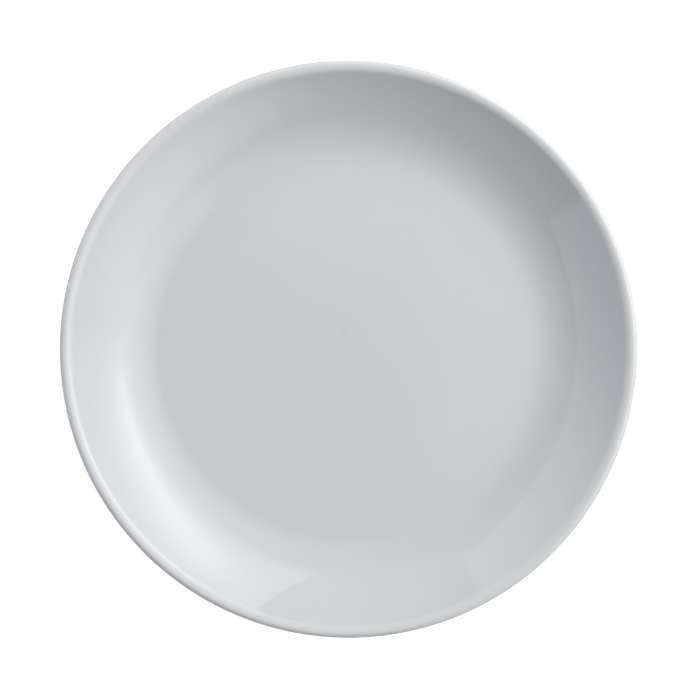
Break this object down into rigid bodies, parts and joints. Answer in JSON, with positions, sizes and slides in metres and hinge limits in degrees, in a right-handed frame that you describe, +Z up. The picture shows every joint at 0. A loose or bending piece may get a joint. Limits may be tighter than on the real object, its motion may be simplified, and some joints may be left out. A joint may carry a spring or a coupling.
{
  "type": "dessert plate",
  "caption": "Round rimless dessert plate with a flat well, a softly curved wall, a rounded lip and a low foot ring, in pale blue-grey gloss glaze with a bare foot edge.",
  "frame": {"origin": "centre of the foot ring's resting plane, on the plate's axis", "axes": "+Z up along the plate's axis, from the table to the lip; X and Y are any two level directions, because the plate is round"},
  "size_m": [0.19, 0.19, 0.022],
  "materials": {
    "clay": "matte",
    "glaze": "gloss"
  },
  "bodies": {
    "root": {"clay_body": "clay", "outer_glaze": "glaze", "recess_glaze": "glaze"}
  },
  "joints": []
}
